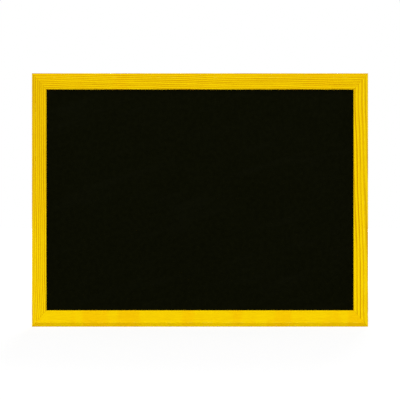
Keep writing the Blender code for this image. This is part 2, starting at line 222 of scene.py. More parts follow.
def make_pine_figure():
    """Build the figure of sawn pine, for a place measured from the pith with X along the grain.

    Growth rings are cylinders round the pith: the distance from it, bent by a slow noise and
    divided by the ring width, counts the years. Near a knot that the saw has just missed the
    rings bow aside: a bell along the grain is added to the distance. Late wood comes on slowly
    within a year and ends at once. Each year has a strength, which also fades along the stick.
    """
    vector, number = "NodeSocketVector", "NodeSocketFloat"
    tree, given, result = effect_group(
        "pine_figure",
        {
            "Place": vector, "Wander": number, "Ring Width": number,
            "Bow": number, "Knot": number, "Reach": number,
        },
        {"Late Wood": number, "Fibre": number, "Canals": number, "Relief": number},
    )
    place = given["Place"]
    bend_inputs = {"Vector": stretch(tree, place, BEND_BLOT), "Scale": 1.0, "Detail": 2.5}
    bend = put(tree, "ShaderNodeTexNoise", bend_inputs).outputs["Color"]
    centred = put(tree, "ShaderNodeVectorMath", {0: bend, 1: (0.5, 0.5, 0.5)}, operation="SUBTRACT")
    drift = put(tree, "ShaderNodeVectorMath", {0: centred.outputs[0]}, operation="SCALE")
    tree.links.new(given["Wander"], drift.inputs["Scale"])
    bent = put(tree, "ShaderNodeVectorMath", {0: place, 1: drift.outputs[0]}, operation="ADD")
    off_grain = {0: bent.outputs[0], 1: (0, 1, 1)}
    across = put(tree, "ShaderNodeVectorMath", off_grain, operation="MULTIPLY")
    length = put(tree, "ShaderNodeVectorMath", {0: across.outputs[0]}, operation="LENGTH")
    grain_axis = put(tree, "ShaderNodeSeparateXYZ", {"Vector": place}).outputs["X"]
    past_knot = calc(tree, "SUBTRACT", grain_axis, given["Knot"])
    past_knot = calc(tree, "DIVIDE", past_knot, given["Reach"])
    bell = calc(tree, "DIVIDE", given["Bow"], calc(tree, "MULTIPLY_ADD", past_knot, past_knot, 1.0))
    distance = calc(tree, "ADD", length.outputs["Value"], bell)
    years = calc(tree, "DIVIDE", distance, given["Ring Width"])
    drift_inputs = {"W": years, "Scale": YEARS_DRIFT_PITCH}
    uneven = put(tree, "ShaderNodeTexNoise", drift_inputs, noise_dimensions="1D")
    years = calc(tree, "MULTIPLY_ADD", uneven.outputs["Fac"], YEARS_DRIFT, years)

    part = calc(tree, "FRACT", years)
    coming_on = spread(tree, part, LATE_WOOD_STARTS, LATE_WOOD_IS_FULL)
    ending = spread(tree, part, LATE_WOOD_ENDS, 1.0, 1.0, 0.0)
    whole_years = {"W": calc(tree, "FLOOR", years)}
    year = put(tree, "ShaderNodeTexWhiteNoise", whole_years, noise_dimensions="1D")
    strength = spread(tree, year.outputs["Value"], 0.0, 1.0, WEAKEST_YEAR, 1.0)
    fading = spread(tree, noise(tree, place, FADING_BLOT), 0.35, 0.62, FADED_YEAR, 1.0)
    late = calc(tree, "MULTIPLY", coming_on, ending)
    late = calc(tree, "MULTIPLY", late, calc(tree, "MULTIPLY", strength, fading))

    fibre = noise(tree, place, FIBRE_BLOT, detail=4.0)
    canals = spread(tree, noise(tree, place, CANAL_BLOT), 0.64, 0.72)
    fibre_rise = calc(tree, "MULTIPLY", fibre, FIBRE_RISE)
    canal_drop = calc(tree, "MULTIPLY", canals, CANAL_DROP)
    relief = calc(tree, "MULTIPLY_ADD", late, LATE_WOOD_RISE, fibre_rise)
    relief = calc(tree, "SUBTRACT", relief, canal_drop)
    tree.links.new(late, result["Late Wood"])
    tree.links.new(fibre, result["Fibre"])
    tree.links.new(canals, result["Canals"])
    tree.links.new(relief, result["Relief"])
    return tree


PINE_FIGURE = make_pine_figure()


def start_material(name, **constants):
    """Return a new material's tree and its shader, with the shader's fixed values set."""
    material = bpy.data.materials.new(name)
    material.use_nodes = True
    shader = material.node_tree.nodes["Principled BSDF"]
    for socket, value in constants.items():
        shader.inputs[socket.replace("_", " ")].default_value = value
    return material, material.node_tree, shader


def laid_out(tree, shift=(0, 0, 0), turn=(0, 0, 0)):
    """Return the piece's own place in millimetres, turned and shifted for its pattern."""
    place = tree.nodes.new("ShaderNodeTexCoord").outputs["Object"]
    scale = (MILLIMETRES, MILLIMETRES, MILLIMETRES)
    inputs = {"Vector": place, "Location": shift, "Rotation": turn, "Scale": scale}
    return put(tree, "ShaderNodeMapping", inputs).outputs["Vector"]


def measured(tree, attribute):
    """Return a value that the piece's mesh carries at its points."""
    return put(tree, "ShaderNodeAttribute", attribute_name=attribute).outputs["Fac"]


def bumped(tree, shader, height, depth, strength=1.0):
    """Give a shader the relief of a height between 0 and 1, this deep at most."""
    inputs = {"Height": height, "Distance": depth, "Strength": strength}
    tree.links.new(put(tree, "ShaderNodeBump", inputs).outputs["Normal"], shader.inputs["Normal"])


def stained_pine(name, pith, turn, rings, late_share, pool_share, top_shade_shares):
    """Return one stick's wood, its growth rings centred on a pith outside the stick.

    The rings are given by their width, how far they bow aside, at which knot along the grain,
    and how far along the grain the bow reaches. A painted shade, standing in for light that falls
    off towards the top, deepens softly with height, from one share at the frame's bottom to another
    at its top.
    """
    sheen = {"Specular_Tint": STAINED_SHEEN, "Specular_IOR_Level": STAINED_GLOSS}
    material, tree, shader = start_material(f"stained_pine_{name}", **sheen)
    place = laid_out(tree, pith, turn)
    inputs = dict(zip(("Ring Width", "Bow", "Knot", "Reach"), rings))
    inputs |= {"Place": place, "Wander": RING_WANDER}
    figure = put(tree, "ShaderNodeGroup", inputs, node_tree=PINE_FIGURE)
    late, fibre = figure.outputs["Late Wood"], figure.outputs["Fibre"]

    ring_share = calc(tree, "MULTIPLY", late, late_share)
    stained = blend(tree, ring_share, STAINED_EARLY_WOOD, STAINED_LATE_WOOD)
    # Painted shade: the wood is multiplied darker with height, standing in for light that falls off
    # towards the top
    height = put(tree, "ShaderNodeSeparateXYZ", {"Vector": laid_out(tree)}).outputs["Z"]
    bottom, top = FRAME_BOTTOM * MILLIMETRES, FRAME_TOP * MILLIMETRES
    deep = spread(tree, height, bottom, top, top_shade_shares[0], top_shade_shares[1])
    stained = blend(tree, deep, stained, PAINTED_SHADE_AT_TOP, "MULTIPLY")
    pools = spread(tree, noise(tree, place, POOL_BLOT), 0.47, 0.62, 0.0, pool_share)
    stained = blend(tree, pools, stained, STAIN_POOL, "MULTIPLY")
    rubbed = spread(tree, measured(tree, "arris_distance"), *RUBBED_WIDTH, RUBBED_AT_MOST, 0.0)
    patches = spread(tree, noise(tree, place, RUBBED_BLOT, detail=4.0), 0.5, 0.62)
    stained = blend(tree, calc(tree, "MULTIPLY", rubbed, patches), stained, STAINED_WORN)
    soaked = spread(tree, measured(tree, "mitre_distance"), *SOAKED_WIDTH, SOAKED_AT_MOST, 0.0)
    stained = blend(tree, soaked, stained, STAINED_JOINT)

    bare = blend(tree, late, BARE_EARLY_WOOD, BARE_LATE_WOOD)
    ragged = calc(tree, "SUBTRACT", noise(tree, place, RAGGED_BLOT), 0.5)
    ragged = calc(tree, "MULTIPLY", ragged, RAGGEDNESS)
    cover = spread(tree, calc(tree, "ADD", measured(tree, "stain"), ragged), 0.38, 0.62)
    wood = blend(tree, cover, bare, stained)
    streak = blend(tree, spread(tree, fibre, 0.3, 0.7), FIBRE_SHADE, FIBRE_SHINE)
    wood = blend(tree, 1.0, wood, streak, "MULTIPLY")
    wood = blend(tree, figure.outputs["Canals"], wood, CANAL_SHADE, "MULTIPLY")
    tree.links.new(wood, shader.inputs["Base Color"])

    satin = spread(tree, fibre, 0.2, 0.8, *SATIN_ROUGHNESS)
    bare_share = calc(tree, "SUBTRACT", 1.0, cover)
    roughness = calc(tree, "MULTIPLY_ADD", bare_share, BARE_WOOD_ROUGHER, satin)
    tree.links.new(roughness, shader.inputs["Roughness"])
    bumped(tree, shader, figure.outputs["Relief"], FIBRE_RELIEF, strength=0.6)
    return material


def rounded(corners):
    """Return a closed outline whose corners (x, y, radius) are rounded by arcs.

    An arc's centre lies on the bisector of its corner, at the radius over the sine of the half
    angle, and it runs from the foot of the centre on one side to its foot on the other.
    """
    corners = np.array(corners)
    corner, radius = corners[:, :2], corners[:, 2:]
    before = np.roll(corner, 1, axis=0) - corner
    after = np.roll(corner, -1, axis=0) - corner
    before /= np.linalg.norm(before, axis=1, keepdims=True)
    after /= np.linalg.norm(after, axis=1, keepdims=True)
    half = np.arccos(np.sum(before * after, axis=1, keepdims=True)) / 2
    bisector = before + after
    bisector /= np.linalg.norm(bisector, axis=1, keepdims=True)
    centre = corner + bisector * radius / np.sin(half)
    first = before * radius / np.tan(half) + corner - centre
    last = after * radius / np.tan(half) + corner - centre
    start = np.arctan2(first[:, 1:], first[:, :1])
    sweep = np.arctan2(last[:, 1:], last[:, :1]) - start
    sweep = (sweep + math.pi) % (2 * math.pi) - math.pi
    angle = start + sweep * np.linspace(0, 1, ARC_STEPS + 1)
    arcs = centre[:, None] + radius[:, None] * np.stack([np.cos(angle), np.sin(angle)], axis=-1)
    return arcs.reshape(-1, 2)


def refined(outline, step):
    """Split every side of a closed outline evenly into lengths no longer than a step."""
    side = np.roll(outline, -1, axis=0) - outline
    count = np.maximum(np.ceil(np.linalg.norm(side, axis=1) / step).astype(int), 1)
    place = np.arange(count.sum()) - np.repeat(np.cumsum(count) - count, count)
    share = place / np.repeat(count, count)
    return np.repeat(outline, count, axis=0) + share[:, None] * np.repeat(side, count, axis=0)


def shade(mesh):
    """Turn a closed mesh's faces outwards and shade it smooth, apart from its sharp edges."""
    turning = bmesh.new()
    turning.from_mesh(mesh)
    bmesh.ops.recalc_face_normals(turning, faces=turning.faces)
    turning.to_mesh(mesh)
    turning.free()
    mesh.shade_smooth()
    mesh.set_sharp_from_angle(angle=SHARP_ANGLE)


def loft(name, sections, looped=False):
    """Return a closed object from a grid of points: stations by points round a section.

    Quads join each section to the next one, and every section closes on itself. The last
    station meets the first one in a loop, or else one flat face caps each end.
    """
    stations, around = sections.shape[:2]
    index = np.arange(stations * around).reshape(stations, around)
    near = index if looped else index[:-1]
    far = np.roll(index, -1, axis=0)[: len(near)]
    quads = np.stack([near, np.roll(near, -1, axis=1), np.roll(far, -1, axis=1), far], axis=-1)
    caps = [] if looped else [index[0].tolist(), index[-1].tolist()]
    mesh = bpy.data.meshes.new(name)
    mesh.from_pydata(sections.reshape(-1, 3), [], quads.reshape(-1, 4).tolist() + caps)
    shade(mesh)
    piece = bpy.data.objects.new(name, mesh)
    bpy.context.scene.collection.objects.link(piece)
    return piece


def carry(piece, name, values):
    """Let a piece's mesh carry one value for each of its points."""
    layer = piece.data.attributes.new(name, "FLOAT", "POINT")
    layer.data.foreach_set("value", np.ascontiguousarray(values, np.float32).ravel())


def moulding():
    """Return the stile's section: distance from the outer edge, and height over the back."""
    front = FRAME_DEPTH
    lip_back = FRAME_DEPTH - LIP_THICKNESS
    outline = rounded([
        (0.0, 0.0, BACK_ROUND),
        (0.0, front - BEVEL_DROP, ARRIS_ROUND),
        (BEVEL_WIDTH, front, ARRIS_ROUND),
        (STILE_FACE, front, LIP_ROUND),
        (STILE_FACE, lip_back, KNIFE_EDGE),
        (STILE_LAND, lip_back, KNIFE_EDGE),
        (STILE_LAND, 0.0, BACK_ROUND),
    ])
    return refined(outline, SECTION_STEP)


def stain_reach(across, height):
    """Return how surely the stain covers the section: 1 in front, falling at the bare back."""
    on_back = height < BACK_ROUND
    behind_lip = height < FRAME_DEPTH - LIP_THICKNESS + KNIFE_EDGE
    under_lip = behind_lip & (across > STILE_LAND - KNIFE_EDGE)
    reach = np.where(on_back, 1 - across / STAIN_ON_THE_BACK, 1.0)
    lip_share = 1 - (STILE_FACE - across) / STAIN_UNDER_THE_LIP
    return np.clip(np.where(under_lip, lip_share, reach), 0, 1)


def arris_distances(across, height):
    """Return the distance of each point of the section to the nearest arris that hands touch."""
    front = FRAME_DEPTH
    arrises = np.array([
        (0.0, 0.0),
        (0.0, front - BEVEL_DROP),
        (BEVEL_WIDTH, front),
        (STILE_FACE, front),
    ])
    apart = np.hypot(across[:, None] - arrises[:, 0], height[:, None] - arrises[:, 1])
    return apart.min(axis=1)


def dents(along, arris_distance, draw):
    """Return how far small knocks have pushed the arrises in: a bell in both directions."""
    places = draw.uniform(along.min(), along.max(), DENTS_ON_A_STICK)
    depths = draw.uniform(*DENT_DEPTH_SHARES, DENTS_ON_A_STICK) * DENT_DEPTH
    lengths = draw.uniform(*DENT_LENGTH_SHARES, DENTS_ON_A_STICK) * DENT_LENGTH
    bells = depths * np.exp(-(((along[:, :, None] - places) / lengths) ** 2))
    return bells.sum(axis=2) * np.exp(-((arris_distance / DENT_REACH) ** 2))


def make_stick(name, edge_middle, inward, half_length, face, neighbour_face, seed):
    """Carry the moulding along one side of the frame, between its two mitres.

    A point that lies a distance in from the outer edge ends that distance, times the ratio of
    the two faces, before the corner, so each end is the plane of the mitre.
    """
    section = moulding()
    across, height = section.T
    stain = stain_reach(across, height)
    arris_distance = arris_distances(across, height)
    across = across * face / STILE_FACE
    slant = math.hypot(face, neighbour_face)
    reach = half_length - across * neighbour_face / face - GLUE_LINE / 2 * slant / face
    share = np.linspace(-1, 1, int(2 * half_length / STATION_STEP))
    along = share[:, None] * reach
    knocked = dents(along, arris_distance, np.random.default_rng(seed))
    across = across + knocked * np.sign(face / 2 - across)
    height = height - knocked * np.sign(height - FRAME_DEPTH / 2)
    x = edge_middle[0] + inward[0] * across - inward[1] * along
    z = edge_middle[1] + inward[1] * across + inward[0] * along
    stick = loft(name, np.stack([x, BACK_PLANE - height, z], axis=-1))
    mitre_distance = (reach - np.abs(along)) * face / slant
    carry(stick, "stain", np.broadcast_to(stain, along.shape))
    carry(stick, "arris_distance", np.broadcast_to(arris_distance, along.shape) * MILLIMETRES)
    carry(stick, "mitre_distance", mitre_distance * MILLIMETRES)
    return stick


HALF_WIDTH = (FRAME_RIGHT - FRAME_LEFT) / 2
HALF_HEIGHT = (FRAME_TOP - FRAME_BOTTOM) / 2
INWARD = {"left": (1, 0), "right": (-1, 0), "top": (0, -1), "bottom": (0, 1)}
EDGE_MIDDLES = {
    "left": (FRAME_LEFT, FRAME_MIDDLE),
    "right": (FRAME_RIGHT, FRAME_MIDDLE),
    "top": (0.0, FRAME_TOP),
    "bottom": (0.0, FRAME_BOTTOM),
}

sticks = {}
for number, (side, inward) in enumerate(INWARD.items()):
    if side in ("left", "right"):
        name, lengths = f"{side}_stile", (HALF_HEIGHT, STILE_FACE, RAIL_FACE)
    else:
        name, lengths = f"{side}_rail", (HALF_WIDTH, RAIL_FACE, STILE_FACE)
    sticks[side] = make_stick(f"{name}_wood", EDGE_MIDDLES[side], inward, *lengths, seed=number)
    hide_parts(name)
    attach(sticks[side], "board")


def grain_turn(upright, slope):
    """Return the turn that lays the pattern's X along a stick, off by the grain's slope."""
    return (0, math.radians(slope) + (math.pi / 2 if upright else 0), 0)


# Each pith is given as the shift that brings it to the pattern's middle, in millimetres
# The last two shares of each stick set its painted shade, darker towards the frame's top
woods = {
    "top": stained_pine(
        "top_rail", (35, -6, -118), grain_turn(False, -0.6),
        rings=(2.3, 4.5, -165.0, 100.0), late_share=0.95, pool_share=0.4, top_shade_shares=(0.0, 0.5),
    ),
    "bottom": stained_pine(
        "bottom_rail", (60, 46, 240), grain_turn(False, 0.0),
        rings=(3.6, 0.0, 0.0, 50.0), late_share=0.06, pool_share=1.0, top_shade_shares=(0.25, 0.9),
    ),
    "left": stained_pine(
        "left_stile", (20, 40, 120), grain_turn(True, 0.4),
        rings=(2.3, 5.0, -255.0, 22.0), late_share=0.8, pool_share=0.2, top_shade_shares=(0.0, 0.95),
    ),
    "right": stained_pine(
        "right_stile", (80, -30, 130), grain_turn(True, 1.6),
        rings=(2.9, 0.0, 0.0, 50.0), late_share=0.82, pool_share=0.2, top_shade_shares=(0.0, 0.45),
    ),
}
for side, wood in woods.items():
    sticks[side].data.materials.append(wood)

# The writing sheet
# A thin hard sheet with a matt, near-black coat that takes chalk. It is glued to the hardboard
# behind it and shows through the frame's opening.

SHEET_CORNER = 0.0005
SHEET_EDGE = 0.0001
CHALK_BLACK = (0.0025, 0.0028, 0.0004, 1.0)
CHALK_BLACK_PALE = (0.0034, 0.0038, 0.0007, 1.0)
CHALK_HAZE = (0.0075, 0.0080, 0.0045, 1.0)
CHALK_DUST = (0.030, 0.030, 0.026, 1.0)
CHALK_GLOSS = 0.01
CHALK_ROUGHNESS = (0.84, 0.94)
HAZE_AT_MOST = 0.16
DUST_AT_MOST = 0.6
TOOTH = 0.00004
TOOTH_BLOT = (0.5, 0.5, 0.5)
DUST_BLOT = (0.4, 0.4, 0.4)
MOTTLE_BLOT = (5, 5, 5)
HANDLED_BLOT = (30, 30, 30)
WIPING_BLOT = (95, 20, 14)
WIPING_SLANT = math.radians(18)
PLATE_EDGE_STEPS = 4


def plate(name, outline_at, front, back, edge):
    """Return a flat piece with rounded edges, its outline drawn at each level along Y.

    Over the quarter turn at each face, the level moves by 1 - cos and the outline is drawn in
    by 1 - sin, times the edge's radius.
    """
    turn = np.linspace(0, math.pi / 2, PLATE_EDGE_STEPS)
    inset = edge * (1 - np.sin(turn))
    step = edge * (1 - np.cos(turn))
    insets = np.concatenate([inset, inset[::-1]])
    levels = np.concatenate([front + step, (back - step)[::-1]])
    outlines = np.stack([outline_at(inset) for inset in insets])
    depth = np.broadcast_to(levels[:, None], outlines.shape[:2])
    return loft(name, np.stack([outlines[..., 0], depth, outlines[..., 1]], axis=-1))


def panel_outline(node, corner):
    """Return a function that draws a node's rectangle, in X and Z, at an inset."""
    low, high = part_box(node)

    def outline_at(inset):
        radius = corner - inset
        return rounded([
            (low.x + inset, low.z + inset, radius),
            (high.x - inset, low.z + inset, radius),
            (high.x - inset, high.z - inset, radius),
            (low.x + inset, high.z - inset, radius),
        ])

    return outline_at


def chalk_surface():
    """Return the writing coat: a mottled near-black with a fine tooth and a faint haze of chalk."""
    material, tree, shader = start_material("chalk_surface", Specular_IOR_Level=CHALK_GLOSS)
    place = laid_out(tree)
    mottle = spread(tree, noise(tree, place, MOTTLE_BLOT, detail=4.0), 0.3, 0.7)
    coat = blend(tree, mottle, CHALK_BLACK, CHALK_BLACK_PALE)
    wiped = put(tree, "ShaderNodeMapping", {"Vector": place, "Rotation": (0, WIPING_SLANT, 0)})
    swipes = noise(tree, wiped.outputs["Vector"], WIPING_BLOT, detail=3.0)
    haze = spread(tree, swipes, 0.5, 0.8, 0.0, HAZE_AT_MOST)
    specks = spread(tree, noise(tree, place, DUST_BLOT), 0.70, 0.80, 0.0, DUST_AT_MOST)
    hazed = blend(tree, haze, coat, CHALK_HAZE)
    tree.links.new(blend(tree, specks, hazed, CHALK_DUST), shader.inputs["Base Color"])
    roughness = spread(tree, noise(tree, place, HANDLED_BLOT), 0.3, 0.7, *CHALK_ROUGHNESS)
    tree.links.new(roughness, shader.inputs["Roughness"])
    bumped(tree, shader, noise(tree, place, TOOTH_BLOT, detail=3.0), TOOTH, strength=0.8)
    return material


sheet_low, sheet_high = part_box("writing_sheet")
sheet_outline = panel_outline("writing_sheet", SHEET_CORNER)
sheet = plate("writing_sheet_coated", sheet_outline, sheet_low.y, sheet_high.y, SHEET_EDGE)
sheet.data.materials.append(chalk_surface())
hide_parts("writing_sheet")
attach(sheet, "board")

# The backing board
# Pressed hardboard, 3 mm thick, sawn to the rebate. Its smooth side carries the sheet, and its
# back keeps the print of the wire screen that it was pressed on.

BOARD_CORNER = 0.0008
BOARD_EDGE = 0.0003
HARDBOARD_BROWN = (0.262, 0.114, 0.045, 1.0)
HARDBOARD_DARK = (0.12, 0.05, 0.022, 1.0)
HARDBOARD_PALE = (0.40, 0.22, 0.11, 1.0)
HARDBOARD_GLOSS = 0.3
HARDBOARD_ROUGHNESS = (0.72, 0.88)
HARDBOARD_FIBRE = (3.2, 0.4, 0.32)
FIBRE_DIRECTIONS = (12, 57, 103, 149)
FLECKS_AT_MOST = 0.7
STAINS_AT_MOST = 0.3
STAINS_BLOT = (70, 70, 45)
FIBRE_SHARE_OF_RELIEF = 0.35
SCREEN_PITCH = 1.7
SCREEN_DEPTH = 0.00022


def hardboard():
    """Return pressed hardboard: brown fibres, with the crossed waves of a screen as relief."""
    material, tree, shader = start_material("hardboard", Specular_IOR_Level=HARDBOARD_GLOSS)
    place = laid_out(tree)
    matted = 0.0
    for degrees in FIBRE_DIRECTIONS:
        inputs = {"Vector": place, "Rotation": (0, math.radians(degrees), 0)}
        lying = put(tree, "ShaderNodeMapping", inputs).outputs["Vector"]
        matted = calc(tree, "MAXIMUM", matted, noise(tree, lying, HARDBOARD_FIBRE, detail=3.0))
    board = blend(tree, spread(tree, matted, 0.5, 0.78), HARDBOARD_BROWN, HARDBOARD_DARK)
    flecks = spread(tree, noise(tree, lying, HARDBOARD_FIBRE), 0.68, 0.78, 0.0, FLECKS_AT_MOST)
    board = blend(tree, flecks, board, HARDBOARD_PALE)
    stains = noise(tree, place, STAINS_BLOT, detail=3.0)
    stains = spread(tree, stains, 0.35, 0.7, 0.0, STAINS_AT_MOST)
    board = blend(tree, stains, board, HARDBOARD_DARK)
    tree.links.new(board, shader.inputs["Base Color"])
    roughness = spread(tree, matted, 0.3, 0.7, *HARDBOARD_ROUGHNESS)
    tree.links.new(roughness, shader.inputs["Roughness"])
    axes = put(tree, "ShaderNodeSeparateXYZ", {"Vector": place})
    turns = 2 * math.pi / SCREEN_PITCH
    wave_x = calc(tree, "SINE", calc(tree, "MULTIPLY", axes.outputs["X"], turns))
    wave_z = calc(tree, "SINE", calc(tree, "MULTIPLY", axes.outputs["Z"], turns))
    screen = calc(tree, "MULTIPLY_ADD", calc(tree, "MULTIPLY", wave_x, wave_z), 0.5, 0.5)
    height = calc(tree, "ADD", screen, calc(tree, "MULTIPLY", matted, FIBRE_SHARE_OF_RELIEF))
    bumped(tree, shader, height, SCREEN_DEPTH, strength=0.7)
    return material


board_low, board_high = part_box("backing_board")
board_outline = panel_outline("backing_board", BOARD_CORNER)
backing = plate("backing_board_pressed", board_outline, board_low.y, board_high.y, BOARD_EDGE)
backing.data.materials.append(hardboard())
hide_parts("backing_board")
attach(backing, "board")

# The eight V-nails
# Folded strips of zinc-plated steel, pressed into the back across each mitre: the fold lies on
# the joint and the two wings, flared at their tips, draw the sticks together.

V_NAIL_FROM_CORNER = 0.0086
V_NAIL_FROM_REBATE = 0.0041
V_NAIL_WING = 0.0042
V_NAIL_HALF_ANGLE = math.radians(42)
V_NAIL_FOLD = 0.0004
V_NAIL_FLARE = 0.00025
V_NAIL_GAUGE = 0.0005
V_NAIL_BURR = 0.00008
V_NAIL_STEPS = 25
V_SLOT_CLEARANCE = 0.00008
SLOT_OVERRUN = 0.0005
ZINC_BLUE = (0.40, 0.42, 0.455, 1.0)
ZINC_WARM = (0.50, 0.485, 0.44, 1.0)
ZINC_BLOOM = (0.62, 0.62, 0.60, 1.0)
ZINC_DULL = (0.17, 0.173, 0.18, 1.0)
ZINC_ROUGHNESS = (0.32, 0.44)
ZINC_RELIEF = 0.00002
TINT_BLOT = (3, 3, 3)
DULL_BLOT = (1.6, 1.6, 1.6)
BLOOM_BLOT = (1.1, 1.1, 1.1)
POLISH_BLOT = (1.8, 1.8, 1.8)
SCRATCH_BLOT = (2.5, 0.09, 0.12)
SCRATCHES_ROUGHEN = 0.12
DULLING_ROUGHENS = 0.2
BLOOM_ROUGHENS = 0.3
MITRE_LAND = math.hypot(STILE_LAND, STILE_LAND * RAIL_FACE / STILE_FACE)


def make_zinc_plate():
    """Build zinc plating: a blue to straw tint, dull patches, fine scratches and white bloom."""
    vector, number, colour = "NodeSocketVector", "NodeSocketFloat", "NodeSocketColor"
    tree, given, result = effect_group(
        "zinc_plate",
        {"Place": vector, "Bloom": number, "Dulling": number},
        {"Colour": colour, "Roughness": number, "Relief": number},
    )
    place = given["Place"]
    straw = spread(tree, noise(tree, place, TINT_BLOT), 0.35, 0.65)
    tint = blend(tree, straw, ZINC_BLUE, ZINC_WARM)
    dull = spread(tree, noise(tree, place, DULL_BLOT, detail=3.0), 0.35, 0.65, 0.6, 1.0)
    dull = calc(tree, "MULTIPLY", dull, given["Dulling"])
    tint = blend(tree, dull, tint, ZINC_DULL)
    bloom = spread(tree, noise(tree, place, BLOOM_BLOT, detail=4.0), 0.52, 0.72)
    bloom = calc(tree, "MULTIPLY", bloom, given["Bloom"])
    scratches = spread(tree, noise(tree, place, SCRATCH_BLOT), 0.60, 0.72)
    roughness = spread(tree, noise(tree, place, POLISH_BLOT), 0.3, 0.7, *ZINC_ROUGHNESS)
    roughness = calc(tree, "MULTIPLY_ADD", scratches, SCRATCHES_ROUGHEN, roughness)
    roughness = calc(tree, "MULTIPLY_ADD", dull, DULLING_ROUGHENS, roughness)
    roughness = calc(tree, "MULTIPLY_ADD", bloom, BLOOM_ROUGHENS, roughness)
    relief = calc(tree, "ADD", bloom, calc(tree, "MULTIPLY", scratches, 0.5))
    tree.links.new(blend(tree, bloom, tint, ZINC_BLOOM), result["Colour"])
    tree.links.new(roughness, result["Roughness"])
    tree.links.new(relief, result["Relief"])
    return tree


ZINC_PLATE = make_zinc_plate()


def zinc_steel(name, bloom, dulling=0.0, turn=(0, 0, 0)):
    """Return zinc-plated steel with its scratches along X, before a turn."""
    material, tree, shader = start_material(f"zinc_steel_{name}", Metallic=1.0)
    inputs = {"Place": laid_out(tree, turn=turn), "Bloom": bloom, "Dulling": dulling}
    plating = put(tree, "ShaderNodeGroup", inputs, node_tree=ZINC_PLATE)
    tree.links.new(plating.outputs["Colour"], shader.inputs["Base Color"])
    tree.links.new(plating.outputs["Roughness"], shader.inputs["Roughness"])
    bumped(tree, shader, plating.outputs["Relief"], ZINC_RELIEF, strength=0.5)
    return material


def v_section(gauge, wing):
    """Return a V's outline, its fold at the origin and its wings towards -X.

    The middle line is a hyperbola, x = r - sqrt((s cos a)^2 + r^2) and y = s sin a, with the
    tips flared by a sixth power, and the outline lies half the gauge to either side of it.
    """
    s = np.linspace(-1, 1, V_NAIL_STEPS) * wing
    flare = V_NAIL_FLARE * np.sign(s) * (s / wing) ** 6
    x = V_NAIL_FOLD - np.sqrt((s * math.cos(V_NAIL_HALF_ANGLE)) ** 2 + V_NAIL_FOLD**2)
    y = s * math.sin(V_NAIL_HALF_ANGLE) + flare
    slope_x, slope_y = np.gradient(x), np.gradient(y)
    size = np.hypot(slope_x, slope_y)
    side = np.stack([slope_y, -slope_x], axis=-1) / size[:, None] * gauge / 2
    middle = np.stack([x, y], axis=-1)
    return np.concatenate([middle + side, (middle - side)[::-1]])


def v_nail_outline(across, upright, distance, gauge, wing):
    """Return a function that draws a V-nail in X and Z, on the mitre of one corner."""
    x_sign = -1 if across == "left" else 1
    z_sign = 1 if upright == "top" else -1
    corner = np.array([x_sign * HALF_WIDTH, FRAME_MIDDLE + z_sign * HALF_HEIGHT])
    inward = np.array([-x_sign * STILE_FACE, -z_sign * RAIL_FACE])
    inward = inward / np.linalg.norm(inward)
    aside = np.array([-inward[1], inward[0]])

    def outline_at(inset):
        section = v_section(gauge - 2 * inset, wing - inset)
        return corner + (distance + section[:, :1]) * inward + section[:, 1:] * aside

    return outline_at


def cut_away(piece, cutters):
    """Cut hollows out of a piece for good, all at once, and remove the cutters.

    The manifold solver is used because the exact one leaves edges open where slots cross a mitre.
    """
    shells = bmesh.new()
    for cutter in cutters:
        shells.from_mesh(cutter.data)
    shells.to_mesh(cutters[0].data)
    shells.free()
    hollow = piece.modifiers.new("hollow", "BOOLEAN")
    hollow.solver = "MANIFOLD"
    hollow.object = cutters[0]
    whole = piece.data
    evaluated = piece.evaluated_get(bpy.context.evaluated_depsgraph_get())
    piece.data = bpy.data.meshes.new_from_object(evaluated)
    piece.modifiers.clear()
    bpy.data.meshes.remove(whole)
    for cutter in cutters:
        bpy.data.objects.remove(cutter)
    piece.data.set_sharp_from_angle(angle=SHARP_ANGLE)


NAIL_STEEL = zinc_steel("v_nails", bloom=0.5, dulling=0.5)
NAIL_ROWS = {"outer": V_NAIL_FROM_CORNER, "inner": MITRE_LAND - V_NAIL_FROM_REBATE}
slots = {side: [] for side in sticks}
for across in ("left", "right"):
    for upright in ("top", "bottom"):
        for row, distance in NAIL_ROWS.items():
            node = f"v_nail_{upright}_{across}_{row}"
            low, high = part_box(node)
            outline_at = v_nail_outline(across, upright, distance, V_NAIL_GAUGE, V_NAIL_WING)
            nail = plate(f"{node}_steel", outline_at, low.y, high.y, V_NAIL_BURR)
            nail.data.materials.append(NAIL_STEEL)
            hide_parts(node)
            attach(nail, "board")
            gauge = V_NAIL_GAUGE + 2 * V_SLOT_CLEARANCE
            wing = V_NAIL_WING + V_SLOT_CLEARANCE
            slot_outline = v_nail_outline(across, upright, distance, gauge, wing)
            front, back = low.y - V_SLOT_CLEARANCE, BACK_PLANE + SLOT_OVERRUN
            for side in (across, upright):
                slots[side].append(plate("slot", slot_outline, front, back, V_NAIL_BURR))
for side, cutters in slots.items():
    cut_away(sticks[side], cutters)

# The panel points
# Flat tabs of zinc-plated steel, stamped with a sharp end that is shot into the rebate's wall.
# The round-cornered end lies on the hardboard and keeps the panel against the lip.

POINT_TIP = 0.0030
POINT_ROUND = 0.0012
POINT_TIP_ROUND = 0.0002
POINT_BURR = 0.0001
POINT_SLOT_CLEARANCE = 0.00015


def middle_of(node):
    """Return the middle of a node's box, in X and Z."""
    low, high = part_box(node)
    return np.array([low.x + high.x, low.z + high.z]) / 2


